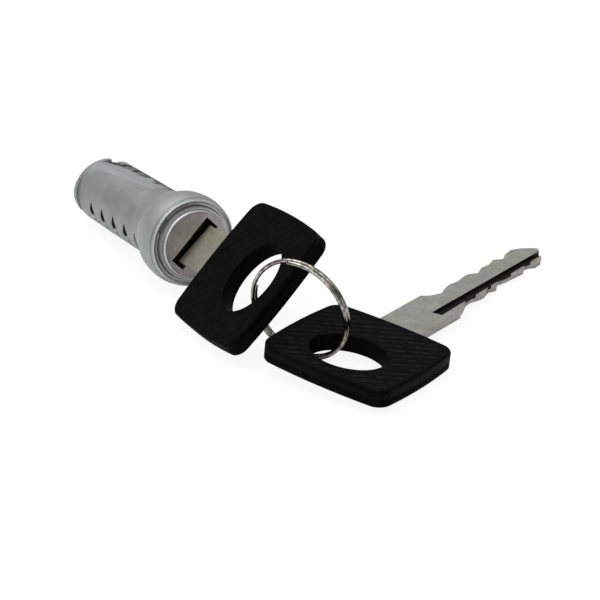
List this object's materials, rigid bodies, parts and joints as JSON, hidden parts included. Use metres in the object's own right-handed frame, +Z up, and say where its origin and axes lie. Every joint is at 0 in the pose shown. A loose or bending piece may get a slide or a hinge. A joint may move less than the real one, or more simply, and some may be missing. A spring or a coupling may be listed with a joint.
{
  "type": "ignition lock",
  "caption": "Vehicle ignition lock barrel with its key inserted, and a spare key on the same split ring.",
  "frame": {"origin": "centre of the whole set's footprint, on the bench it lies on", "axes": "+X from the back of the lock towards its face, level with the bench; +Z up; +Y to the left of a viewer who looks along +X"},
  "size_m": [0.1342, 0.0986, 0.0271],
  "materials": {
    "zinc_casting": null,
    "plug_zinc": null,
    "face_steel": "worn satin",
    "spring_steel": "satin",
    "wafer_brass": "dull",
    "coil_steel": "bright",
    "key_steel": "satin nickel over steel",
    "black_plastic": "fine-ribbed moulding",
    "ring_nickel": "bright nickel"
  },
  "bodies": {
    "housing": {"lock_housing": "zinc_casting", "snap_ring": "spring_steel"},
    "plug": {"plug": "plug_zinc", "face_plate": "face_steel", "wafer_1": "wafer_brass", "wafer_2": "wafer_brass", "wafer_3": "wafer_brass", "wafer_4": "wafer_brass", "wafer_5": "wafer_brass", "wafer_6": "wafer_brass", "wafer_7": "wafer_brass", "wafer_8": "wafer_brass", "wafer_9": "wafer_brass", "wafer_10": "wafer_brass", "wafer_spring_1": "coil_steel", "wafer_spring_2": "coil_steel", "wafer_spring_3": "coil_steel", "wafer_spring_4": "coil_steel", "wafer_spring_5": "coil_steel", "wafer_spring_6": "coil_steel", "wafer_spring_7": "coil_steel", "wafer_spring_8": "coil_steel", "wafer_spring_9": "coil_steel", "wafer_spring_10": "coil_steel"},
    "key": {"ignition_key_blade": "key_steel", "ignition_key_head": "black_plastic"},
    "ring": {"split_ring": "ring_nickel"},
    "spare": {"spare_key_blade": "key_steel", "spare_key_head": "black_plastic"}
  },
  "joints": [
    {"name": "plug_turn", "type": "hinge", "parent": "housing", "child": "plug", "pos_m": [-0.03033, -0.03522, 0.01068], "axis": [-0.9979, 0, -0.0642], "range_deg": [0, 110]},
    {"name": "key_pull", "type": "slide", "parent": "plug", "child": "key", "axis": [0.9979, 0, 0.0642], "range_m": [0, 0.056]},
    {"name": "ring_swing", "type": "hinge", "parent": "key", "child": "ring", "pos_m": [0.02951, -0.03522, 0.01453], "axis": [0.0432, -0.7392, -0.6721], "range_deg": [-60, 60]},
    {"name": "spare_swing", "type": "hinge", "parent": "ring", "child": "spare", "pos_m": [0.037, -0.02935, 0.00502], "axis": [-0.4004, 0.9156, -0.0372], "range_deg": [-15, 70]}
  ]
}
